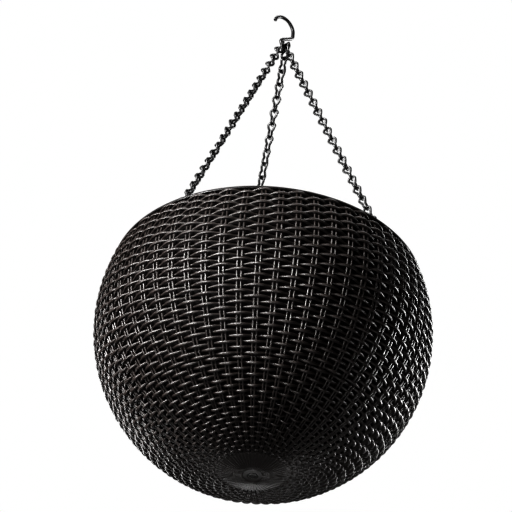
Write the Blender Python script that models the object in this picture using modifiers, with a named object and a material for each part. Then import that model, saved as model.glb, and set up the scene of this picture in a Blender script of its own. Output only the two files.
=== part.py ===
"""Hanging basket: a woven-look ball planter on three jack chains and a wire hook.

Metres, +Z up. The origin is the hang point, the inside of the hook's bend, and the
basket's axis is the Z axis below it. The chains stand at equal angles around that axis.
"""

import math

import bmesh
import bpy
from mathutils import Matrix, Vector

# Driving dimensions
BALL_RADIUS = 0.174  # outside of the weave
BALL_DROP = 0.4381  # hang point down to the centre of the ball
RIM_RISE = 0.0644  # centre of the ball up to the top of the rim
WALL = 0.008  # weave and backing together
SEAM_LATITUDE = -42.8  # degrees, where the lower bowl meets the upper shell
BASE_RADIUS = 0.017  # flat disc under the ball
GAP = 0.0003  # between pieces that touch

RIM_BAND = 0.006  # height of the smooth rim
RIM_WALL = 0.005
RIM_EDGE = 0.0008  # how far the rim's top edge is eased
FLANGE_INNER = 0.140
FLANGE_DROP = 0.002  # rim top down to the flange
FLANGE_THICK = 0.0025

RING_RADIUS = 0.0062  # wire rings that join the chains to the flange
RING_WIRE = 0.0010
RING_CENTRE = 0.1413  # from the basket's axis
RING_HOLE = 0.0026
RING_POINTS = 16

CHAIN_ANGLES = {"right": -15.5, "back": 104.5, "left": 224.5}
CHAIN_SLOTS = {"left": -1, "right": 0, "back": 1}  # order along the hook's eye
CHAIN_WIRE = 0.0009
LINKS = 23
LOOP_HALF = 0.0036  # half the width of a link's loop
WAIST_HALF = 0.0013  # half the distance between the wires at a link's waist
WAIST_TWIST = 22.0  # degrees to each side of the waist by which its wires have turned
STRAIGHT_SHARES = (0.22, 0.62, 1.0)  # points from the waist up to the loop's centre
LOOP_STEPS = (50.0, 90.0)  # degrees around the loop
WELD = 0.6  # share of the wire that two joined links keep between them

HOOK_WIRE = 0.0017
HOOK_BEND = 0.0138
HOOK_TIP = 170.0  # degrees
HOOK_SIDE = 0.0030  # from the basket's axis to the centre of the bend, towards the tip
HOOK_TURN = math.radians(40.0)  # of the hook's plane about Z, from the XZ plane
EYE_RADIUS = 0.0060
EYE_DROP = 0.0220  # centre of the bend down to the centre of the eye
EYE_TURN = 225.0  # degrees of wire in the eye
SHANK_RISE = 0.0140  # centre of the eye up to the corner below the shank
NECK_RISE = 0.0028  # centre of the eye up to the corner above it
NECK_SIDE = 0.0048  # from the basket's axis
CORNER_RADIUS = 0.003
HOOK_POINTS = 16
EYE_POINTS = 18
EYE_SPREAD = 0.0026  # between neighbouring chains in the eye

LINER_TOP = 0.1265
LINER_WAIST = 0.1085
LINER_HEEL = 0.088  # radius where the wall meets the slope above the foot
LINER_SEAT = 0.080  # radius where that slope rests on the bowl
LINER_FOOT = 0.074
LINER_WAIST_RISE = 0.01  # waist above the middle of the pot's height
LINER_HEEL_RISE = 0.012
LINER_WALL = 0.002
LINER_BELOW_RIM = 0.012
LINER_LIP = 0.0022

PLUG_STEM = 0.0033
PLUG_HEAD = 0.0047
PLUG_THICK = 0.0012
PLUG_LENGTH = 0.011
PLUG_POINT = 0.0012  # bevel at the top of the stem
PLUG_EDGE = 0.0005  # bevel around the head
PLUG_RECESS = 0.0018  # depth of the plug's seat in the base

STEPS = 40  # facets around a turned piece
BALL_Z = -BALL_DROP
RIM_Z = BALL_Z + RIM_RISE
EYE_Z = HOOK_WIRE - HOOK_BEND - EYE_DROP
INNER_RADIUS = BALL_RADIUS - WALL


def clear_scene():
    for thing in list(bpy.data.objects):
        bpy.data.objects.remove(thing, do_unlink=True)


def collection(name):
    made = bpy.data.collections.new(name)
    bpy.context.scene.collection.children.link(made)
    return made


def material(name, colour, roughness, metallic=0.0):
    made = bpy.data.materials.new(name)
    made.use_nodes = True
    shader = made.node_tree.nodes["Principled BSDF"]
    shader.inputs["Base Color"].default_value = (*colour, 1.0)
    shader.inputs["Roughness"].default_value = roughness
    shader.inputs["Metallic"].default_value = metallic
    return made


def add_mesh(name, mesh, where, look):
    thing = bpy.data.objects.new(name, mesh)
    where.objects.link(thing)
    mesh.materials.append(look)
    return thing


def ball_point(radius, latitude):
    """A point (r, z) on the ball, its latitude in degrees above the centre."""
    angle = math.radians(latitude)
    return radius * math.cos(angle), BALL_Z + radius * math.sin(angle)


def ball_arc(radius, start, end, count):
    """Points along a meridian from one latitude to another, both included."""
    step = (end - start) / (count - 1)
    return [ball_point(radius, start + i * step) for i in range(count)]


def latitude_at(radius, height):
    """The latitude where a ball of this radius reaches this height above its centre."""
    return math.degrees(math.asin(height / radius))


def add_turn(thing, steps):
    """Turns a piece's profile about Z."""
    screw = thing.modifiers.new("Turn", "SCREW")
    screw.steps = steps
    screw.render_steps = steps
    screw.use_merge_vertices = True
    screw.merge_threshold = 0.00001
    screw.use_smooth_shade = True


def turned(name, profile, where, look, steps=STEPS):
    """An outline of (r, z) points turned about Z, open between two points on the axis."""
    mesh = bpy.data.meshes.new(name)
    shape = bmesh.new()
    points = [shape.verts.new((r, 0.0, z)) for r, z in profile]
    for first, second in zip(points, points[1:] + points[:1]):
        if max(first.co.x, second.co.x) > 0.0:
            shape.edges.new((first, second))
    shape.to_mesh(mesh)
    shape.free()
    thing = add_mesh(name, mesh, where, look)
    add_turn(thing, steps)
    return thing


def wire(name, points, radius, where, look, closed=False, sides_level=2):
    """A round wire along the points, as a mesh with its caps welded on."""
    curve = bpy.data.curves.new(name, "CURVE")
    curve.dimensions = "3D"
    curve.bevel_depth = radius
    curve.bevel_resolution = sides_level
    curve.use_fill_caps = not closed
    spline = curve.splines.new("POLY")
    spline.points.add(len(points) - 1)
    for slot, point in zip(spline.points, points):
        slot.co = (*point, 1.0)
    spline.use_cyclic_u = closed
    guide = bpy.data.objects.new(name + "_guide", curve)
    where.objects.link(guide)
    graph = bpy.context.evaluated_depsgraph_get()
    mesh = bpy.data.meshes.new_from_object(guide.evaluated_get(graph))
    bpy.data.objects.remove(guide, do_unlink=True)
    shape = bmesh.new()
    shape.from_mesh(mesh)
    bmesh.ops.remove_doubles(shape, verts=shape.verts, dist=0.00001)
    shape.to_mesh(mesh)
    shape.free()
    mesh.shade_smooth()
    return add_mesh(name, mesh, where, look)


def cut(thing, cutter):
    """Takes the cutter away from the piece and leaves it as a guide."""
    cutter.hide_render = True
    cutter.display_type = "WIRE"
    step = thing.modifiers.new("Cut", "BOOLEAN")
    step.operation = "DIFFERENCE"
    step.object = cutter


def cylinder(name, radius, low, high, where, look, place=(0.0, 0.0)):
    """An upright cylinder between two heights."""
    mesh = bpy.data.meshes.new(name)
    shape = bmesh.new()
    bmesh.ops.create_cone(
        shape, cap_ends=True, segments=16, radius1=radius, radius2=radius, depth=high - low
    )
    shape.to_mesh(mesh)
    shape.free()
    thing = add_mesh(name, mesh, where, look)
    thing.location = (place[0], place[1], (low + high) / 2)
    return thing


# Hook


def bend(corner_in, corner, corner_out, radius, count=5):
    """Points along a round bend at a corner of a path in the XZ plane."""
    a = (corner_in - corner).normalized()
    b = (corner_out - corner).normalized()
    half = a.angle(b) / 2
    middle = corner + (a + b).normalized() * (radius / math.sin(half))
    reach = radius / math.tan(half)
    first = (corner + a * reach - middle).normalized()
    last = (corner + b * reach - middle).normalized()
    return [middle + first.slerp(last, i / (count - 1)) * radius for i in range(count)]


def arc_xz(centre, radius, start, end, count):
    """Points on a circle in the XZ plane, from one angle to another in degrees."""
    points = []
    for i in range(count):
        angle = math.radians(start + (end - start) * i / (count - 1))
        points.append(centre + Vector((math.cos(angle), 0.0, math.sin(angle))) * radius)
    return points


def hook_path():
    """Tip, round bend, shank, slanting neck and the eye."""
    top = Vector((-HOOK_SIDE, 0.0, HOOK_WIRE - HOOK_BEND))
    eye = Vector((0.0, 0.0, EYE_Z))
    shank = Vector((HOOK_BEND - HOOK_SIDE, 0.0, EYE_Z + SHANK_RISE))
    neck = Vector((-NECK_SIDE, 0.0, EYE_Z + NECK_RISE))
    path = arc_xz(top, HOOK_BEND, HOOK_TIP, 0.0, HOOK_POINTS)
    path += bend(path[-1], shank, neck, CORNER_RADIUS)
    path += bend(shank, neck, eye - Vector((EYE_RADIUS, 0.0, 0.0)), CORNER_RADIUS)
    path += arc_xz(eye, EYE_RADIUS, 180.0, 180.0 + EYE_TURN, EYE_POINTS)
    return [Matrix.Rotation(HOOK_TURN, 3, "Z") @ point for point in path]


# Chains


def link_half_width(height, link_height):
    """Half the distance between a link's two wires at a height above its waist."""
    loop_centre = link_height / 2 - LOOP_HALF
    if height >= loop_centre:
        return math.sqrt(max(0.0, LOOP_HALF**2 - (height - loop_centre) ** 2))
    share = height / loop_centre
    return WAIST_HALF + (LOOP_HALF - WAIST_HALF) * math.sin(share * math.pi / 2)


def link_heights(link_height):
    """Heights from the bottom of a link to its top, closer together around the loops."""
    loop_centre = link_height / 2 - LOOP_HALF
    above = [share * loop_centre for share in STRAIGHT_SHARES]
    above += [loop_centre + LOOP_HALF * math.sin(math.radians(a)) for a in LOOP_STEPS]
    return [-h for h in reversed(above)] + above


def link_points(link_height):
    """A jack-chain link along Z: a lower loop across X and an upper loop across Y."""
    one_side = []
    heights = link_heights(link_height)
    nearest_waist = min(abs(h) for h in heights)
    for height in heights:
        turned_by = WAIST_TWIST if abs(height) == nearest_waist else 45.0
        turn = math.radians(45.0 + math.copysign(turned_by, height))
        half = link_half_width(abs(height), link_height)
        one_side.append(Vector((half * math.cos(turn), half * math.sin(turn), height)))
    other_side = [Vector((-p.x, -p.y, p.z)) for p in reversed(one_side[1:-1])]
    return one_side + other_side


def ring_centre(angle):
    turn = math.radians(angle)
    height = RIM_Z - FLANGE_DROP - FLANGE_THICK / 2
    return Vector((RING_CENTRE * math.cos(turn), RING_CENTRE * math.sin(turn), height))


def along_eye():
    """The level direction of the hook's plane."""
    return Vector((math.cos(HOOK_TURN), math.sin(HOOK_TURN), 0.0))


def eye_seat(side):
    """Where the top of a chain's first link lies in the hook's eye, if the chain hung straight."""
    free = EYE_RADIUS - HOOK_WIRE - CHAIN_WIRE - GAP
    across = CHAIN_SLOTS[side] * EYE_SPREAD
    return along_eye() * across + Vector((0.0, 0.0, EYE_Z - math.sqrt(free**2 - across**2)))


def chain_line(side):
    """The ends of a chain's wire centreline, with the eye's wire centred in the top loop."""
    top = eye_seat(side)
    centre = ring_centre(CHAIN_ANGLES[side])
    lean = (centre - top).normalized()
    sideways = Vector((0.0, 0.0, 1.0)).cross(along_eye())
    top -= sideways * lean.dot(sideways) * (HOOK_WIRE + CHAIN_WIRE + GAP)
    up = (top - centre).normalized()
    bottom = centre + up * (RING_RADIUS - RING_WIRE - CHAIN_WIRE - GAP)
    return top, bottom


def join(first, second):
    """Unites the second piece with the first and removes it."""
    step = first.modifiers.new("Join", "BOOLEAN")
    step.operation = "UNION"
    step.object = second
    graph = bpy.context.evaluated_depsgraph_get()
    mesh = bpy.data.meshes.new_from_object(first.evaluated_get(graph))
    first.modifiers.clear()
    first.data = mesh
    bpy.data.objects.remove(second, do_unlink=True)


def square_to(direction, down):
    """The part of a direction that is square to the chain, at length one."""
    return (direction - down * direction.dot(down)).normalized()


def loop_directions(side, down):
    """Where the lower loops spread: along the eye's wire at the top, across the ring's below."""
    turn = math.radians(CHAIN_ANGLES[side])
    at_eye = square_to(along_eye(), down)
    at_ring = square_to(Vector((-math.sin(turn), math.cos(turn), 0.0)), down)
    if at_eye.dot(at_ring) < 0.0:
        at_ring.negate()
    return [at_eye.slerp(at_ring, i / (LINKS - 1)) for i in range(LINKS)]


def place_link(name, where, look, height, middle, down, across):
    """One link with its waist at middle, its lower loop spread along across."""
    frame = Matrix((across, down.cross(across), -down)).transposed()
    points = [middle + frame @ p for p in link_points(height)]
    return wire(name, points, CHAIN_WIRE, where, look, closed=True, sides_level=0)


def add_chain(side, where, look):
    """The first link on its own, then the rest joined two by two to save nodes."""
    top, bottom = chain_line(side)
    down = (bottom - top).normalized()
    inside = 2 * CHAIN_WIRE * WELD
    between = 2 * CHAIN_WIRE + GAP
    pairs = (LINKS - 1) // 2
    height = ((bottom - top).length + pairs * (inside + between)) / LINKS
    travelled = 0.0
    node = None
    for count, across in enumerate(loop_directions(side, down)):
        middle = top + down * (travelled + height / 2)
        name = f"chain_{side}_{(count + 1) // 2 + 1:02d}"
        if count > 0 and count % 2 == 0:
            piece = place_link(name + "_end", where, look, height, middle, down, across)
            join(node, piece)
            travelled += height - between
            continue
        node = place_link(name, where, look, height, middle, down, across)
        travelled += height - (inside if count else between)


def add_rings(where, look):
    """Closed wire rings standing in the flange's holes, in line with their chains."""
    for side, angle in CHAIN_ANGLES.items():
        centre = ring_centre(angle)
        turn = math.radians(angle)
        outward = Vector((math.cos(turn), math.sin(turn), 0.0))
        points = []
        for i in range(RING_POINTS):
            a = math.tau * i / RING_POINTS
            offset = outward * math.cos(a) + Vector((0.0, 0.0, math.sin(a)))
            points.append(centre + offset * RING_RADIUS)
        wire(f"rim_ring_{side}", points, RING_WIRE, where, look, closed=True, sides_level=1)


# Basket


def add_rim(where, cutters, look):
    """The smooth top band and the flange that the chains hang from."""
    band_foot = RIM_Z - RIM_BAND
    outer_top = math.sqrt(BALL_RADIUS**2 - RIM_RISE**2)
    outer_foot = math.sqrt(BALL_RADIUS**2 - (RIM_RISE - RIM_BAND) ** 2)
    inner = outer_top - RIM_WALL
    flange_top = RIM_Z - FLANGE_DROP
    flange_foot = flange_top - FLANGE_THICK
    profile = [
        (outer_top - RIM_EDGE, RIM_Z),
        (outer_top, RIM_Z - RIM_EDGE),
        (outer_foot, band_foot),
        (inner, band_foot),
        (inner, flange_foot),
        (FLANGE_INNER, flange_foot),
        (FLANGE_INNER, flange_top),
        (inner, flange_top),
        (inner, RIM_Z),
    ]
    rim = turned("rim_flange", profile, where, look)
    for side, angle in CHAIN_ANGLES.items():
        turn = math.radians(angle)
        reach = RING_CENTRE + RING_RADIUS
        place = (reach * math.cos(turn), reach * math.sin(turn))
        name = f"cut_ring_{side}"
        low = flange_foot - FLANGE_THICK
        cut(rim, cylinder(name, RING_HOLE, low, RIM_Z, cutters, look, place))


def add_upper_shell(where, look):
    """The woven wall from the rim down to the seam."""
    top = RIM_RISE - RIM_BAND - GAP
    outer = ball_arc(BALL_RADIUS, latitude_at(BALL_RADIUS, top), SEAM_LATITUDE, 9)
    inner = ball_arc(INNER_RADIUS, SEAM_LATITUDE, latitude_at(INNER_RADIUS, top), 7)
    turned("upper_shell", outer + inner, where, look)


def add_lower_bowl(where, look):
    """The woven wall below the seam, with its flat disc and the drain hole."""
    gap = math.degrees(GAP / BALL_RADIUS)
    flat = math.degrees(math.asin(BASE_RADIUS / BALL_RADIUS)) - 90.0
    start = SEAM_LATITUDE - gap
    outer = ball_arc(BALL_RADIUS, start, flat, 8)
    inner = ball_arc(INNER_RADIUS, flat, start, 7)
    hole = PLUG_STEM + GAP
    base = outer[-1][1]
    recess = [
        (PLUG_HEAD + 2 * GAP, base),
        (PLUG_HEAD + 2 * GAP, base + PLUG_RECESS),
        (hole, base + PLUG_RECESS),
        (hole, inner[0][1]),
    ]
    turned("lower_bowl", outer + recess + inner, where, look)
    return base + PLUG_RECESS


def liner_foot_height():
    """Height of the liner's underside, where the slope above it meets the ball's inside."""
    seat = INNER_RADIUS - 2 * GAP
    return BALL_Z - math.sqrt(seat**2 - LINER_SEAT**2)


def add_liner(where, look):
    """The planting pot, a tapered cup with a small lip, standing in the bowl."""
    foot = liner_foot_height()
    top = RIM_Z - LINER_BELOW_RIM
    waist = (top + foot) / 2 + LINER_WAIST_RISE
    heel = foot + LINER_HEEL_RISE
    profile = [
        (LINER_TOP + LINER_LIP, top),
        (LINER_TOP + LINER_LIP, top - LINER_WALL),
        (LINER_TOP, top - LINER_WALL),
        (LINER_WAIST, waist),
        (LINER_HEEL, heel),
        (LINER_FOOT, foot),
        (0.0, foot),
        (0.0, foot + LINER_WALL),
        (LINER_FOOT - LINER_WALL / 2, foot + LINER_WALL),
        (LINER_HEEL - LINER_WALL, heel + LINER_WALL / 2),
        (LINER_WAIST - LINER_WALL, waist),
        (LINER_TOP - LINER_WALL, top),
    ]
    turned("liner", profile, where, look)


def add_plug(seat, where, look):
    """The drain plug: a head in the base's recess and a stem up through the hole."""
    head_top = seat - GAP
    profile = [
        (0.0, head_top + PLUG_LENGTH),
        (PLUG_STEM - PLUG_POINT, head_top + PLUG_LENGTH),
        (PLUG_STEM, head_top + PLUG_LENGTH - PLUG_POINT),
        (PLUG_STEM, head_top),
        (PLUG_HEAD, head_top),
        (PLUG_HEAD, head_top - PLUG_THICK + PLUG_EDGE),
        (PLUG_HEAD - PLUG_EDGE, head_top - PLUG_THICK),
        (0.0, head_top - PLUG_THICK),
    ]
    turned("drain_plug", profile, where, look, steps=16)


def main():
    clear_scene()
    parts = collection("hanging_basket")
    cutters = collection("cutters")
    weave = material("woven_plastic", (0.030, 0.022, 0.018), 0.42)
    smooth = material("smooth_plastic", (0.026, 0.020, 0.017), 0.38)
    pot = material("liner_plastic", (0.012, 0.011, 0.011), 0.55)
    steel = material("chain_steel", (0.030, 0.030, 0.032), 0.38, 0.75)
    wire("hook", hook_path(), HOOK_WIRE, parts, steel)
    for side in CHAIN_ANGLES:
        add_chain(side, parts, steel)
    add_rings(parts, steel)
    add_rim(parts, cutters, smooth)
    add_upper_shell(parts, weave)
    plug_seat = add_lower_bowl(parts, weave)
    add_liner(parts, pot)
    add_plug(plug_seat, parts, smooth)


main()
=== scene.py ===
"""Looks of the hanging basket: a woven-look plastic ball planter on three jack chains.

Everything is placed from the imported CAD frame, in metres, with the origin at the hang point.
"""

import math

import bmesh
import bpy
import numpy as np
from mathutils import Matrix, Quaternion, Vector


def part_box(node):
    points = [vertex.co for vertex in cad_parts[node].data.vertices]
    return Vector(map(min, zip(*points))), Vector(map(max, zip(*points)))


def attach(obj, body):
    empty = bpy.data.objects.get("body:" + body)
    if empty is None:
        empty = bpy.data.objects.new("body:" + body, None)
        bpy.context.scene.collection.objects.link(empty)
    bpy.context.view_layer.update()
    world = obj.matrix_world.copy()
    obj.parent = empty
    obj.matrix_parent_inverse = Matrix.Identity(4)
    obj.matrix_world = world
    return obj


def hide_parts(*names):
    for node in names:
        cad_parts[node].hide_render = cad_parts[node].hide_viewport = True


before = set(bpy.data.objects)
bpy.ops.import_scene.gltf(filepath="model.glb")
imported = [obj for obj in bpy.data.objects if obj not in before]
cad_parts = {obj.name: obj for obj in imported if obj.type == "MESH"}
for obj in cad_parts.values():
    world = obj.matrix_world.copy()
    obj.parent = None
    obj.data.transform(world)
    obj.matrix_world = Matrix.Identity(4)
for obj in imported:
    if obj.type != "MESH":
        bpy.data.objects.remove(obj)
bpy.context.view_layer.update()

SIDES = ("left", "back", "right")
HOOK_TURN = math.radians(40.0)  # of the hook's plane about Z
RANDOM = np.random.default_rng(7)
WELD_DISTANCE = 0.000002

# Ball, as in the CAD: its widest radius, its flat base and the heights of rim and seam
BALL_RADIUS = 0.174
BASE_RADIUS = 0.017
BASE_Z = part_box("lower_bowl")[0][2]
CENTRE_Z = BASE_Z + math.sqrt(BALL_RADIUS**2 - BASE_RADIUS**2)
RIM_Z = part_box("rim_flange")[1][2]
RIM_DEPTH = 0.0030
FLANGE_INNER = 0.140
FLANGE_THICKNESS = 0.0025
SEAM_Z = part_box("upper_shell")[0][2]

# Weave
PAIRS = 58
PAIR_PHASE = math.radians(2.8 - 90.0)
ROW_PITCH = math.radians(1.86)
FIRST_ROW_DROP = math.radians(1.3)
LAST_ROW = math.radians(-77.0)
SEAM_SHARE = 0.71  # of a row pitch, across the seam
WAVE = 0.0022  # how far a strand swings out over the ribs and in behind them
WAVE_POWER = 0.75  # below 1, a strand stays longer at its outermost and innermost
FULL_SPACING = 0.011  # rib spacing at which strands have their full wave and height
STRAND_HALF_HEIGHT = 0.00158  # where a strand is outermost
STRAND_DIP_SHARE = 0.62  # of that height, where it is innermost
STRAND_HALF_DEPTH = 0.0010
STRAND_SQUARE = 2.4  # section, between an ellipse at 2 and a box
RIB_HALF_WIDTH = 0.00118
RIB_HALF_DEPTH = 0.00105
RIB_HALF_GAP = 0.0022  # half the distance between the two ribs of a pair, at the widest line
RIB_WIDTH_POWER = 0.46  # how fast ribs and gaps narrow towards the pole
RIB_GAP_POWER = 0.68
RIB_RADIUS = BALL_RADIUS - WAVE - STRAND_HALF_DEPTH
RIB_POLE_GAP = math.radians(5.4)
RIB_UNDER_RIM = 0.004  # radians that the ribs run up inside the band
SEAM_GAP = 0.0012  # radians, between the ribs of the two halves
BACKING_OUTER = RIB_RADIUS - 0.0036
BACKING_INNER = BALL_RADIUS - 0.0080
BACKING_POLE_GAP = math.radians(7.0)

# Disc under the ball, with fine spokes
DISC_FACE = BASE_Z + 0.0004
DISC_FLAT = BASE_RADIUS - 0.0010
DISC_EDGE = 0.034
DISC_THICKNESS = 0.0020
DISC_PROUD = 0.0005  # of its edge, past the middle of the ribs
PLUG_CLEARANCE = 0.0006
SPOKE_START = 0.0098
SPOKE_HALF_WIDTH = 0.0009
SPOKE_HALF_DEPTH = 0.00055


# Mesh helpers


def mesh_object(name, verts, faces, look):
    """A smooth-shaded object with one material."""
    mesh = bpy.data.meshes.new(name)
    mesh.from_pydata([tuple(v) for v in verts], [], [tuple(f) for f in faces])
    mesh.update()
    mesh.shade_smooth()
    thing = bpy.data.objects.new(name, mesh)
    bpy.context.scene.collection.objects.link(thing)
    mesh.materials.append(look)
    return thing


def unit(a):
    return a / np.linalg.norm(a, axis=-1, keepdims=True)


def tubes(paths, outward, half_across, half_out, sides, closed, square=2.0):
    """Vertices, faces and strand coordinates of flattened tubes.

    paths and outward are (count, steps, 3); the half sizes are (count, steps) or numbers.
    square above 2 makes the section boxier than an ellipse.
    """
    count, steps, _ = paths.shape
    ahead = np.roll(paths, -1, axis=1)
    behind = np.roll(paths, 1, axis=1)
    if not closed:
        ahead[:, -1] = paths[:, -1]
        behind[:, 0] = paths[:, 0]
    along = unit(ahead - behind)
    out = unit(outward - along * (outward * along).sum(-1, keepdims=True))
    across = np.cross(along, out)
    angle = np.arange(sides) * math.tau / sides
    power = 2.0 / square
    c = np.sign(np.cos(angle)) * np.abs(np.cos(angle)) ** power
    s = np.sign(np.sin(angle)) * np.abs(np.sin(angle)) ** power
    wide = np.broadcast_to(half_across, (count, steps))[..., None, None]
    deep = np.broadcast_to(half_out, (count, steps))[..., None, None]
    ring = across[:, :, None] * wide * c[:, None] + out[:, :, None] * deep * s[:, None]
    verts = (paths[:, :, None] + ring).reshape(-1, 3)
    length = np.cumsum(np.linalg.norm(paths - behind, axis=2), axis=1)
    coords = np.zeros((count, steps, sides, 3))
    coords[..., 0] = length[..., None]
    coords[..., 1] = angle / math.tau
    coords[..., 2] = RANDOM.random(count)[:, None, None]
    spans = steps if closed else steps - 1
    i, j, k = np.meshgrid(np.arange(count), np.arange(spans), np.arange(sides), indexing="ij")
    here = (i * steps + j) * sides
    there = (i * steps + (j + 1) % steps) * sides
    after = (k + 1) % sides
    quads = np.stack([here + k, here + after, there + after, there + k], -1).reshape(-1, 4)
    faces = quads.tolist()
    if not closed:
        for first in range(0, count * steps * sides, steps * sides):
            faces.append(list(range(first, first + sides))[::-1])
            last = first + (steps - 1) * sides
            faces.append(list(range(last, last + sides)))
    return verts, faces, coords.reshape(-1, 3)


def add_coords(thing, coords):
    """Stores length along, place around and a number for each strand, for its material."""
    layer = thing.data.attributes.new("strand", "FLOAT_VECTOR", "POINT")
    layer.data.foreach_set("vector", np.asarray(coords, np.float32).ravel())


def tube_object(name, look, *args, **kwargs):
    verts, faces, coords = tubes(*args, **kwargs)
    thing = mesh_object(name, verts, faces, look)
    add_coords(thing, coords)
    return thing


def revolve(name, profile, look, steps):
    """Turns a closed profile of (r, z) about Z, down its outer side and up inside."""
    points = np.array(profile, float)
    angle = np.arange(steps) * math.tau / steps
    verts = np.stack(
        [
            np.outer(np.cos(angle), points[:, 0]),
            np.outer(np.sin(angle), points[:, 0]),
            np.broadcast_to(points[:, 1], (steps, len(points))),
        ],
        -1,
    ).reshape(-1, 3)
    n = len(points)
    faces = []
    for i in range(steps):
        here, there = i * n, ((i + 1) % steps) * n
        for j in range(n):
            k = (j + 1) % n
            faces.append((here + j, here + k, there + k, there + j))
    thing = mesh_object(name, verts, faces, look)
    weld(thing)
    return thing


def weld(thing):
    shape = bmesh.new()
    shape.from_mesh(thing.data)
    bmesh.ops.remove_doubles(shape, verts=shape.verts, dist=WELD_DISTANCE)
    bmesh.ops.dissolve_degenerate(shape, edges=shape.edges, dist=WELD_DISTANCE)
    bmesh.ops.recalc_face_normals(shape, faces=shape.faces)
    shape.to_mesh(thing.data)
    shape.free()


def rounded(points, radius, count=4, closed=True):
    """Rounds the corners of an outline by quadratic curves that start radius before each."""
    points = [Vector(p) for p in points]
    result = []
    for i, here in enumerate(points):
        if not closed and i in (0, len(points) - 1):
            result.append(here)
            continue
        before, after = points[i - 1], points[(i + 1) % len(points)]
        near = min(radius, (here - before).length / 2.2)
        far = min(radius, (after - here).length / 2.2)
        a = here + (before - here).normalized() * near
        b = here + (after - here).normalized() * far
        for step in range(count + 1):
            t = step / count
            result.append(a * (1 - t) ** 2 + here * 2 * t * (1 - t) + b * t**2)
    return result


# Materials


class Nodes:
    """A short way to add and link nodes in one material."""

    def __init__(self, material):
        self.tree = material.node_tree
        self.shader = self.tree.nodes["Principled BSDF"]

    def add(self, kind, inputs=None, **settings):
        node = self.tree.nodes.new(kind)
        for key, value in settings.items():
            setattr(node, key, value)
        for key, value in (inputs or {}).items():
            if isinstance(value, bpy.types.NodeSocket):
                self.tree.links.new(value, node.inputs[key])
            else:
                node.inputs[key].default_value = value
        return node

    def link(self, source, target):
        self.tree.links.new(source, self.shader.inputs[target])


PLASTIC_IOR = 1.5
STREAK_SCALE = (130.0, 5.0, 37.0)  # along a strand, around it and from strand to strand
GROOVES_AROUND = (0.0, 44.0, 0.0)
GROOVE_DEPTH = 0.00012
STRAND_GRAIN_DEPTH = 0.0001
MOULD_GRAIN_SCALE = 2500.0
MOULD_GRAIN_DEPTH = 0.00008


def new_material(name):
    material = bpy.data.materials.new(name)
    material.use_nodes = True
    nodes = Nodes(material)
    nodes.shader.inputs["IOR"].default_value = PLASTIC_IOR
    return material, nodes


def mottle(nodes, factor, dark, dark_at, light, light_at):
    """Base colour that runs from dark to light as the factor rises."""
    ramp = nodes.add("ShaderNodeValToRGB", {"Fac": factor})
    start, end = ramp.color_ramp.elements
    start.position = dark_at
    start.color = (*dark, 1.0)
    end.position = light_at
    end.color = (*light, 1.0)
    nodes.link(ramp.outputs["Color"], "Base Color")


def uneven_gloss(nodes, factor, smoothest, roughest):
    """Roughness that rises with the factor."""
    spread = {"Value": factor, "To Min": smoothest, "To Max": roughest}
    wear = nodes.add("ShaderNodeMapRange", spread)
    nodes.link(wear.outputs["Result"], "Roughness")


def strand_material(name, dark, light, rough):
    """Moulded rattan: long streaks and shallow grooves that follow each strand."""
    material, nodes = new_material(name)
    strand = nodes.add("ShaderNodeAttribute", attribute_name="strand").outputs["Vector"]
    stretch = nodes.add(
        "ShaderNodeVectorMath", {0: strand, 1: STREAK_SCALE}, operation="MULTIPLY"
    ).outputs[0]
    streak = nodes.add("ShaderNodeTexNoise", {"Vector": stretch, "Scale": 1.0, "Detail": 4.0})
    mottle(nodes, streak.outputs["Fac"], dark, 0.32, light, 0.70)
    uneven_gloss(nodes, streak.outputs["Fac"], rough - 0.08, rough + 0.10)
    around = nodes.add(
        "ShaderNodeVectorMath", {0: strand, 1: GROOVES_AROUND}, operation="MULTIPLY"
    ).outputs[0]
    grooves = nodes.add("ShaderNodeTexWave", {"Vector": around, "Scale": 1.0, "Distortion": 0.4})
    grooves.bands_direction = "Y"
    ridge = nodes.add(
        "ShaderNodeBump",
        {"Height": grooves.outputs["Fac"], "Strength": 0.35, "Distance": GROOVE_DEPTH},
    )
    fine = nodes.add("ShaderNodeTexNoise", {"Vector": stretch, "Scale": 6.0, "Detail": 3.0})
    bump = nodes.add(
        "ShaderNodeBump",
        {
            "Height": fine.outputs["Fac"],
            "Strength": 0.25,
            "Distance": STRAND_GRAIN_DEPTH,
            "Normal": ridge.outputs["Normal"],
        },
    )
    nodes.link(bump.outputs["Normal"], "Normal")
    return material


def moulded_material(name, dark, light, rough, scale=90.0):
    """Smooth moulded or coated surface with faint mottling and a fine grain."""
    material, nodes = new_material(name)
    place = nodes.add("ShaderNodeTexCoord").outputs["Object"]
    cloud = nodes.add("ShaderNodeTexNoise", {"Vector": place, "Scale": scale, "Detail": 5.0})
    mottle(nodes, cloud.outputs["Fac"], dark, 0.30, light, 0.75)
    uneven_gloss(nodes, cloud.outputs["Fac"], rough - 0.07, rough + 0.09)
    grain = {"Vector": place, "Scale": MOULD_GRAIN_SCALE, "Detail": 2.0}
    fine = nodes.add("ShaderNodeTexNoise", grain)
    bump = nodes.add(
        "ShaderNodeBump",
        {"Height": fine.outputs["Fac"], "Strength": 0.2, "Distance": MOULD_GRAIN_DEPTH},
    )
    nodes.link(bump.outputs["Normal"], "Normal")
    return material


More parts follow.
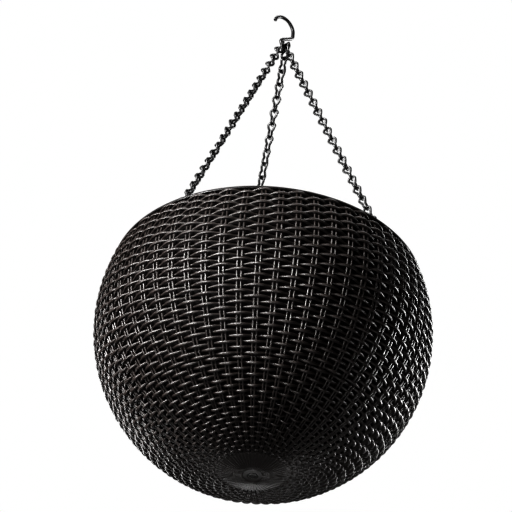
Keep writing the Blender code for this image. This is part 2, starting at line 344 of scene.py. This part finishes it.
DARK_BROWN = (0.0130, 0.0098, 0.0086)
STRAND = strand_material("strand_plastic", DARK_BROWN, (0.0260, 0.0203, 0.0182), 0.39)
RIB = strand_material("rib_plastic", DARK_BROWN, (0.0250, 0.0195, 0.0175), 0.36)
# The wall behind the weave is near-black and hardly reflects. This is painted shade, so the gaps
# between the ribs read as deep shadow.
PAINTED_SHADE_BACKING = moulded_material(
    "backing_painted_shade", (0.0012, 0.0006, 0.0005), (0.0025, 0.0014, 0.0012), 0.8
)
PAINTED_SHADE_BACKING.node_tree.nodes["Principled BSDF"].inputs["Specular IOR Level"].default_value = 0.08
SMOOTH = moulded_material("rim_plastic", (0.005, 0.0042, 0.0040), (0.009, 0.0075, 0.007), 0.30)
DISC = moulded_material("disc_plastic", (0.0060, 0.0036, 0.0030), (0.0095, 0.0060, 0.0052), 0.45)
POT = moulded_material("liner_plastic", (0.014, 0.013, 0.013), (0.022, 0.021, 0.020), 0.55)
STEEL = moulded_material(
    "black_wire", (0.002, 0.002, 0.002), (0.005, 0.0047, 0.0045), 0.40, scale=400.0
)


# Woven ball


def latitude_of(z):
    return math.asin((z - CENTRE_Z) / BALL_RADIUS)


def ball_radius_at(z):
    """Radius of the ball's horizontal section at a height."""
    return math.sqrt(BALL_RADIUS**2 - (z - CENTRE_Z) ** 2)


def row_latitudes():
    """Latitudes of the strand rows from the rim down, with the closer step at the seam."""
    top = latitude_of(RIM_Z) - FIRST_ROW_DROP
    seam = latitude_of(SEAM_Z)
    half_step = ROW_PITCH * SEAM_SHARE / 2
    count = round((top - seam - half_step) / ROW_PITCH) + 1
    upper = np.linspace(top, seam + half_step, count)
    lower = np.arange(seam - half_step, LAST_ROW - ROW_PITCH / 2, -ROW_PITCH)
    return upper, lower


def ball_points(latitude, turn, radius):
    """Points at latitude and angle about Z, on a ball of the given radius."""
    out = np.stack(
        [np.cos(latitude) * np.cos(turn), np.cos(latitude) * np.sin(turn), np.sin(latitude)], -1
    )
    return out * np.asarray(radius)[..., None] + np.array([0.0, 0.0, CENTRE_Z]), out


def strand_rows(name, latitudes, first_number, samples=8):
    """Closed strands that pass over one pair of ribs and behind the next."""
    steps = PAIRS * samples
    turn = np.arange(steps) * math.tau / steps + PAIR_PHASE
    numbers = np.arange(len(latitudes)) + first_number
    phase = (turn - PAIR_PHASE) * PAIRS / 2
    swing = np.cos(phase[None, :] + math.pi * ((numbers + 1) % 2)[:, None])
    swing = np.sign(swing) * np.abs(swing) ** WAVE_POWER
    spacing = BALL_RADIUS * np.cos(latitudes) * math.tau / PAIRS
    reach = WAVE * np.clip(spacing / FULL_SPACING, 0.5, 1.0)
    radius = RIB_RADIUS + reach[:, None] * swing
    latitude = np.broadcast_to(latitudes[:, None], radius.shape)
    paths, out = ball_points(latitude, np.broadcast_to(turn, radius.shape), radius)
    dip = STRAND_DIP_SHARE + (1.0 - STRAND_DIP_SHARE) * (swing + 1.0) / 2
    high = STRAND_HALF_HEIGHT * np.clip(spacing / FULL_SPACING, 0.8, 1.0)[:, None] * dip
    return tube_object(
        name, STRAND, paths, out, high, STRAND_HALF_DEPTH, 8, True, square=STRAND_SQUARE
    )


def ribs(name, top, bottom, steps):
    """Upright ribs in pairs, closer together and thinner towards the pole."""
    latitude = np.linspace(top, bottom, steps)
    shrink = np.cos(latitude)
    centres = np.arange(PAIRS) * math.tau / PAIRS + PAIR_PHASE
    half_gap = RIB_HALF_GAP * shrink**RIB_GAP_POWER / (BALL_RADIUS * shrink)
    turn = centres[:, None, None] + np.array([-1.0, 1.0])[None, :, None] * half_gap
    turn = turn.reshape(PAIRS * 2, steps)
    latitude = np.broadcast_to(latitude, turn.shape)
    paths, out = ball_points(latitude, turn, np.full(turn.shape, RIB_RADIUS))
    wide = RIB_HALF_WIDTH * np.cos(latitude) ** RIB_WIDTH_POWER
    return tube_object(name, RIB, paths, out, wide, RIB_HALF_DEPTH, 6, False, square=STRAND_SQUARE)


def arc_profile(radius, start, end, count):
    return [
        (radius * math.cos(a), CENTRE_Z + radius * math.sin(a))
        for a in np.linspace(start, end, count)
    ]


def backing(name, top, bottom):
    """The wall behind the weave, in a near-black, hardly reflecting finish that paints the shade
    in the gaps.
    """
    outer = arc_profile(BACKING_OUTER, top, bottom, 30)
    inner = arc_profile(BACKING_INNER, bottom, top, 30)
    return revolve(name, outer + inner, PAINTED_SHADE_BACKING, steps=2 * PAIRS)


def disc_edge_z():
    """Height of the disc's edge, a little inside the outer face of the ribs."""
    return CENTRE_Z - math.sqrt((RIB_RADIUS + DISC_PROUD) ** 2 - DISC_EDGE**2)


def base_disc(name):
    """The shallow disc under the ball, with the plug's recess in its flat middle."""
    low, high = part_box("drain_plug")
    head = (high[0] - low[0]) / 2 + PLUG_CLEARANCE
    stem = head - 0.0011
    seat = DISC_FACE + 0.0014
    top = DISC_FACE + 0.0056
    outline = [
        (DISC_EDGE, disc_edge_z()),
        (DISC_FLAT, DISC_FACE),
        (head, DISC_FACE),
        (head, seat),
        (stem, seat),
        (stem, top),
        (DISC_EDGE, disc_edge_z() + DISC_THICKNESS),
    ]
    return revolve(name, rounded(outline, 0.0012), DISC, steps=2 * PAIRS)


def base_spokes(name, steps=14):
    """Fine raised lines that carry the ribs in over the disc towards the plug."""
    reach = np.linspace(SPOKE_START, DISC_EDGE, steps)
    z = np.interp(reach, [DISC_FLAT, DISC_EDGE], [DISC_FACE, disc_edge_z()])
    turn = np.arange(PAIRS)[:, None] * math.tau / PAIRS + PAIR_PHASE
    paths = np.stack(
        [reach * np.cos(turn), reach * np.sin(turn), np.broadcast_to(z, (PAIRS, steps))], -1
    )
    down = np.broadcast_to([0.0, 0.0, -1.0], paths.shape)
    wide = SPOKE_HALF_WIDTH * (reach / DISC_EDGE) ** 0.9
    return tube_object(name, RIB, paths, down, wide, SPOKE_HALF_DEPTH, 6, False)


def make_ball():
    """The weave, its ribs, the wall behind them in painted shade, and the disc."""
    upper, lower = row_latitudes()
    middle = len(upper) // 2
    top = latitude_of(RIM_Z - RIM_DEPTH)
    seam = latitude_of(SEAM_Z)
    below_seam = seam - SEAM_GAP
    pole = -math.radians(90.0)
    shoulder = strand_rows("weave_shoulder", upper[:middle], 0)
    waist = strand_rows("weave_waist", upper[middle:], middle)
    bowl = strand_rows("weave_bowl", lower, len(upper))
    upper_ribs = ribs("ribs_upper", top + RIB_UNDER_RIM, seam, 70)
    lower_ribs = ribs("ribs_lower", below_seam, pole + RIB_POLE_GAP, 50)
    upper_back = backing("backing_upper", top, seam)
    lower_back = backing("backing_lower", below_seam, pole + BACKING_POLE_GAP)
    disc = base_disc("base_disc")
    spokes = base_spokes("base_spokes")
    for piece in (shoulder, waist, upper_ribs, upper_back):
        stand_for(piece, "upper_shell", "basket")
    for piece in (bowl, lower_ribs, lower_back, disc, spokes):
        stand_for(piece, "lower_bowl", "basket")


def stand_for(piece, node, body):
    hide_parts(node)
    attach(piece, body)


# Rim, liner and plug

RING_WIRE = 0.0010
HOLE_RADIUS = 0.0026
HOLE_DEPTH = 0.02
LIP_HEIGHT = 0.0022
LINER_WALL = 0.0019
LINER_WAIST_SHARE = 0.45  # of its height, from the top down to the step in its wall
LINER_FLOOR_RISE = 0.0030
PLUG_HEAD = 0.0012
PLUG_STEM = 0.0033
AXIS_HOLE = 0.0005  # a turned piece stops just short of the axis


def make_rim():
    """The smooth band with a rounded top, and the flange with three holes."""
    outer = ball_radius_at(RIM_Z)
    band_foot = RIM_Z - RIM_DEPTH
    foot = ball_radius_at(band_foot)
    flange_top = RIM_Z - 0.0020
    flange_foot = flange_top - FLANGE_THICKNESS
    outline = [
        (outer, RIM_Z),
        (foot - 0.0004, band_foot),
        (foot - 0.0045, band_foot),
        (outer - 0.0050, flange_foot),
        (FLANGE_INNER, flange_foot),
        (FLANGE_INNER, flange_top),
        (outer - 0.0060, flange_top),
        (outer - 0.0045, RIM_Z),
    ]
    rim = revolve("rim_band", rounded(outline, 0.0009), SMOOTH, steps=240)
    for side in SIDES:
        cut_ring_hole(rim, side, flange_top, flange_foot)
    stand_for(rim, "rim_flange", "basket")


def middle_of(node):
    low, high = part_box(node)
    return (Vector(low) + Vector(high)) / 2


def ring_direction(side):
    place = middle_of(f"rim_ring_{side}")
    return Vector((place.x, place.y, 0.0)).normalized()


def ring_reach(side):
    """Radius of the middle of a ring's wire."""
    low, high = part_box(f"rim_ring_{side}")
    return (high[2] - low[2]) / 2 - RING_WIRE


def cut_ring_hole(rim, side, top, foot):
    """A round hole through the flange where the ring passes."""
    place = middle_of(f"rim_ring_{side}") + ring_direction(side) * ring_reach(side)
    hole = HOLE_RADIUS
    shape = bmesh.new()
    bmesh.ops.create_cone(
        shape, cap_ends=True, segments=32, radius1=hole, radius2=hole, depth=HOLE_DEPTH
    )
    mesh = bpy.data.meshes.new("hole")
    shape.to_mesh(mesh)
    shape.free()
    cutter = bpy.data.objects.new("hole", mesh)
    bpy.context.scene.collection.objects.link(cutter)
    cutter.location = (place.x, place.y, (top + foot) / 2)
    step = rim.modifiers.new("Hole", "BOOLEAN")
    step.object = cutter
    step.operation = "DIFFERENCE"
    bpy.context.view_layer.update()
    graph = bpy.context.evaluated_depsgraph_get()
    cut = bpy.data.meshes.new_from_object(rim.evaluated_get(graph))
    rim.modifiers.clear()
    rim.data = cut
    bpy.data.objects.remove(cutter, do_unlink=True)


def make_liner():
    """The planting pot with a rolled lip, three steps in its wall and a raised floor."""
    low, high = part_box("liner")
    lip = high[0]
    top, foot = high[2], low[2]
    body = lip - LIP_HEIGHT
    collar = body - 0.0018
    lower = body - 0.0190
    waist = top - (top - foot) * LINER_WAIST_SHARE
    floor = foot + LINER_FLOOR_RISE
    outside = [
        (lip, top),
        (lip, top - LIP_HEIGHT),
        (body, top - LIP_HEIGHT),
        (body - 0.0005, top - 0.0200),
        (collar, top - 0.0215),
        (lower + 0.0015, waist),
        (lower, waist - 0.0015),
        (0.0885, foot + 0.0125),
        (0.0745, foot),
        (0.0600, foot),
        (0.0580, floor),
        (AXIS_HOLE, floor),
    ]
    inside = [
        (AXIS_HOLE, floor + LINER_WALL),
        (0.0590, floor + LINER_WALL),
        (0.0610, foot + LINER_WALL),
        (0.0735, foot + LINER_WALL),
        (0.0868, foot + 0.0130),
        (lower - LINER_WALL, waist - 0.0012),
        (lower + 0.0015 - LINER_WALL, waist + 0.0006),
        (collar - LINER_WALL, top - 0.0208),
        (body - 0.0005 - LINER_WALL, top - 0.0190),
        (body - LINER_WALL, top),
    ]
    liner = revolve("liner_pot", rounded(outside + inside, 0.0010, 3), POT, steps=160)
    stand_for(liner, "liner", "liner")


def make_plug():
    """The drain plug, with a dished head."""
    low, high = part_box("drain_plug")
    head, top = high[0], high[2]
    face = low[2]
    seat = face + PLUG_HEAD
    dish = face + PLUG_HEAD / 2
    outline = [
        (0.0004, top),
        (PLUG_STEM - 0.0008, top),
        (PLUG_STEM, top - 0.0014),
        (PLUG_STEM, seat),
        (head, seat),
        (head, face),
        (head - 0.0012, face),
        (head - 0.0017, dish),
        (0.0012, dish),
        (0.0004, face + 0.0003),
    ]
    plug = revolve("plug", rounded(outline, 0.0004, 3), SMOOTH, steps=64)
    stand_for(plug, "drain_plug", "drain_plug")


# Wire

HOOK_BEND = 0.0138  # radius of the bend, to the middle of the wire
HOOK_SIDE = 0.0030  # from the basket's axis to the middle of the bend
HOOK_TIP = 170.0  # degrees, from the shank round to the tip
HOOK_EXTRA = 0.0002  # radius past the CAD's wire
SHANK_RISE = 0.0140
NECK_RISE = 0.0028
NECK_SIDE = 0.0048
EYE_RADIUS = 0.0060
EYE_END = 405.0  # degrees, where the eye's wire ends, short of the neck
LINK_WIRE = 0.0013
LOOP_HALF = 0.0041
LOOP_SHARE = 0.86  # of LOOP_HALF, the height of a loop's round end
WAIST_SHARE = 1.08  # of the wire's radius, half the distance between the wires at the waist
TWIST_SHARE = 0.13  # of a link's height, over which its wires turn from one loop to the other
ROLL_SPREAD = 6.0  # degrees
CHAIN_TWISTS = {  # extra degrees at the eye, at each quarter and at the ring
    "left": (15, 45, 30, -10, 0),
    "back": (0, -45, 0, -20, -45),
    "right": (-5, -18, -5, 20, 40),
}


def arc_xz(centre, radius, start, end, count):
    """Points on a circle in the XZ plane, from one angle to another in degrees."""
    return [
        centre + Vector((math.cos(a), 0.0, math.sin(a))) * radius
        for a in np.radians(np.linspace(start, end, count))
    ]


def make_hook():
    """The bent wire hook: tip, round bend, shank, slanting neck and eye."""
    low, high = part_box("hook")
    radius = high[2] / 2
    bend = Vector((-HOOK_SIDE, 0.0, radius - HOOK_BEND))
    eye = Vector((0.0, 0.0, low[2] + radius + EYE_RADIUS))
    shank = Vector((HOOK_BEND - HOOK_SIDE, 0.0, eye.z + SHANK_RISE))
    neck = Vector((-NECK_SIDE, 0.0, eye.z + NECK_RISE))
    foot = eye - Vector((EYE_RADIUS, 0.0, 0.0))
    points = arc_xz(bend, HOOK_BEND, HOOK_TIP, 0.0, 56)
    points += rounded([points[-1], shank, neck, foot], 0.0036, 10, closed=False)[1:-1]
    points += arc_xz(eye, EYE_RADIUS, 180.0, EYE_END, 48)
    turn = Matrix.Rotation(HOOK_TURN, 3, "Z")
    path = np.array([tuple(turn @ p) for p in points])[None]
    outward = np.broadcast_to(np.array(turn @ Vector((0.0, 1.0, 0.0))), path.shape)
    thick = radius + HOOK_EXTRA
    hook = tube_object("hook_wire", STEEL, path, outward, thick, thick, 16, False)
    stand_for(hook, "hook", "hook")


def link_path(height, wire_radius, steps=28):
    """A jack-chain link along Z: one closed wire, its lower loop in XZ and its upper in YZ."""
    loop = LOOP_HALF
    waist = wire_radius * WAIST_SHARE
    centre = height / 2 - loop * LOOP_SHARE
    side = []
    for t in np.linspace(-math.pi / 2, math.pi / 2, steps):
        z = math.sin(t) * height / 2
        if abs(z) > centre:
            share = (abs(z) - centre) / (height / 2 - centre)
            half = loop * math.sqrt(max(0.0, 1.0 - share**2))
        else:
            share = abs(z) / centre
            half = waist + (loop - waist) * (math.sin(share * math.pi / 2) * 0.5 + share * 0.5)
        turn = (math.tanh(z / (TWIST_SHARE * height)) + 1) * math.pi / 4
        side.append(Vector((half * math.cos(turn), half * math.sin(turn), z)))
    other = [Vector((-p.x, -p.y, p.z)) for p in reversed(side[1:-1])]
    return side + other


def chain_nodes(side):
    nodes = [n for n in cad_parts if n.startswith(f"chain_{side}_")]
    return sorted(nodes)


def square_to(direction, down):
    """The part of a direction that is square to the chain, at unit length."""
    return (direction - down * direction.dot(down)).normalized()


def make_chain(side):
    """Links that hang from the hook's eye to the rim ring and twist slowly on the way."""
    nodes = chain_nodes(side)
    down = (middle_of(nodes[-1]) - middle_of(nodes[1])).normalized()
    count = 2 * len(nodes) - 1
    pair_step = (middle_of(nodes[-1]) - middle_of(nodes[1])).length / (len(nodes) - 2)
    pitch = pair_step / 2
    height = pitch + 2 * LINK_WIRE
    start = middle_of(nodes[1]) - down * pitch * 1.5
    ring = ring_direction(side)
    at_eye = square_to(Vector((math.cos(HOOK_TURN), math.sin(HOOK_TURN), 0.0)), down)
    at_ring = square_to(Vector((-ring.y, ring.x, 0.0)), down)
    if at_eye.dot(at_ring) < 0.0:
        at_ring.negate()
    template = link_path(height, LINK_WIRE)
    for index, node in enumerate(nodes):
        numbers = [0] if index == 0 else [2 * index - 1, 2 * index]
        paths = []
        for number in numbers:
            share = number / (count - 1)
            across = at_eye.slerp(at_ring, share)
            twist = float(np.interp(share, np.linspace(0.0, 1.0, 5), CHAIN_TWISTS[side]))
            roll = math.radians(twist + float(RANDOM.normal(0.0, ROLL_SPREAD)))
            across = Quaternion(down, roll) @ across
            axes = Matrix((across, down.cross(across), -down)).transposed()
            middle = start + down * pitch * number
            paths.append([tuple(middle + axes @ p) for p in template])
        paths = np.array(paths)
        centres = paths.mean(axis=1, keepdims=True)
        links = tube_object(
            f"links_{side}_{index + 1:02d}",
            STEEL,
            paths,
            paths - centres + 1e-6,
            LINK_WIRE,
            LINK_WIRE,
            10,
            True,
        )
        stand_for(links, node, "basket")


def make_ring(side):
    """The wire ring that joins a chain to the flange."""
    reach = ring_reach(side)
    centre = middle_of(f"rim_ring_{side}")
    out = ring_direction(side)
    angle = np.arange(56) * math.tau / 56
    points = [
        centre + (out * math.cos(a) + Vector((0.0, 0.0, math.sin(a)))) * reach for a in angle
    ]
    path = np.array([tuple(p) for p in points])[None]
    outward = path - np.array(tuple(centre))
    ring = tube_object(f"ring_{side}", STEEL, path, outward, RING_WIRE, RING_WIRE, 12, True)
    stand_for(ring, f"rim_ring_{side}", "basket")


# Stage

CAMERA_DISTANCE = 2.665
CAMERA_BELOW = math.radians(36.06)
CAMERA_ROLL = math.radians(4.5)
CAMERA_AIM = (-0.0136, 0.0, 0.1005)  # from the ball's centre
CAMERA_LENS = 182.8
FLOOR_Z = -5.2
FLOOR_HALF = 40.0
FLOOR_LINES = 9
FLOOR_GLOW = 0.96
WORLD_LIGHT = 0.006
CONTRAST_GAMMA = 0.66
LAMPS = (  # name, direction from the ball, distance, sides and watts
    ("key", (-0.785, -0.62, 0.17), 2.3, (0.6, 0.6), 245.0),
    ("top_fill", (-0.60, -0.72, 0.34), 2.3, (0.8, 0.8), 66.0),
    ("low_fill", (-0.18, -0.80, -0.58), 2.3, (0.6, 0.6), 27.0),
    ("back_low", (0.0, 0.95, -0.24), 2.3, (1.4, 0.5), 16.0),
    ("edge", (0.82, 0.52, 0.24), 2.3, (0.5, 1.0), 95.0),
    ("back", (-0.45, 0.85, 0.20), 2.4, (1.0, 1.0), 40.0),
    ("top", (0.10, 0.15, 1.0), 2.4, (1.4, 1.4), 40.0),
)


def make_camera():
    data = bpy.data.cameras.new("camera")
    data.lens = CAMERA_LENS
    data.sensor_width = 36.0
    data.clip_end = 100.0
    camera = bpy.data.objects.new("camera", data)
    centre = Vector((0.0, 0.0, CENTRE_Z))
    away = Vector((0.0, -math.cos(CAMERA_BELOW), -math.sin(CAMERA_BELOW)))
    camera.location = centre + away * CAMERA_DISTANCE
    towards = centre + Vector(CAMERA_AIM) - camera.location
    turn = towards.to_track_quat("-Z", "Y") @ Quaternion((0.0, 0.0, 1.0), CAMERA_ROLL)
    camera.rotation_euler = turn.to_euler()
    bpy.context.scene.collection.objects.link(camera)
    bpy.context.scene.camera = camera


def area_light(name, direction, distance, size, power):
    """A soft lamp that faces the ball from a direction."""
    data = bpy.data.lights.new(name, "AREA")
    data.shape = "RECTANGLE"
    data.size, data.size_y = size
    data.energy = power
    lamp = bpy.data.objects.new(name, data)
    lamp.location = Vector((0.0, 0.0, CENTRE_Z)) + Vector(direction).normalized() * distance
    lamp.rotation_euler = (-Vector(direction)).to_track_quat("-Z", "Y").to_euler()
    lamp.visible_camera = False
    bpy.context.scene.collection.objects.link(lamp)


def make_world():
    """White where the camera sees it, dimmer as a light, like a backdrop outside the lamps."""
    world = bpy.data.worlds.new("studio")
    world.use_nodes = True
    tree = world.node_tree
    background = tree.nodes["Background"]
    background.inputs["Color"].default_value = (1.0, 1.0, 1.0, 1.0)
    background.inputs["Strength"].default_value = WORLD_LIGHT
    backdrop = tree.nodes.new("ShaderNodeBackground")
    backdrop.inputs["Color"].default_value = (1.0, 1.0, 1.0, 1.0)
    backdrop.inputs["Strength"].default_value = 1.0
    seen = tree.nodes.new("ShaderNodeLightPath")
    mix = tree.nodes.new("ShaderNodeMixShader")
    tree.links.new(seen.outputs["Is Camera Ray"], mix.inputs[0])
    tree.links.new(background.outputs[0], mix.inputs[1])
    tree.links.new(backdrop.outputs[0], mix.inputs[2])
    tree.links.new(mix.outputs[0], tree.nodes["World Output"].inputs["Surface"])
    bpy.context.scene.world = world


def make_floor():
    """A plain pale floor, well below the basket and the camera, paler where it is seen."""
    material = moulded_material(
        "floor_paint", (0.80, 0.80, 0.79), (0.86, 0.86, 0.85), 0.7, scale=1.5
    )
    nodes = Nodes(material)
    nodes.shader.inputs["Emission Color"].default_value = (1.0, 1.0, 1.0, 1.0)
    seen = nodes.add("ShaderNodeLightPath").outputs["Is Camera Ray"]
    glow = nodes.add("ShaderNodeMath", {0: seen, 1: FLOOR_GLOW}, operation="MULTIPLY")
    nodes.link(glow.outputs[0], "Emission Strength")
    line = np.linspace(-FLOOR_HALF, FLOOR_HALF, FLOOR_LINES)
    verts = [(x, y, FLOOR_Z) for y in line for x in line]
    rows = range(FLOOR_LINES - 1)
    corners = (0, 1, FLOOR_LINES + 1, FLOOR_LINES)
    faces = [tuple(i + j * FLOOR_LINES + c for c in corners) for j in rows for i in rows]
    mesh_object("floor", verts, faces, material)


def make_stage():
    make_camera()
    make_world()
    make_floor()
    for lamp in LAMPS:
        area_light(*lamp)
    bpy.context.scene.view_settings.view_transform = "Standard"
    bpy.context.scene.view_settings.gamma = CONTRAST_GAMMA


def main():
    make_stage()
    make_ball()
    make_rim()
    make_liner()
    make_plug()
    make_hook()
    for side in SIDES:
        make_chain(side)
        make_ring(side)


main()
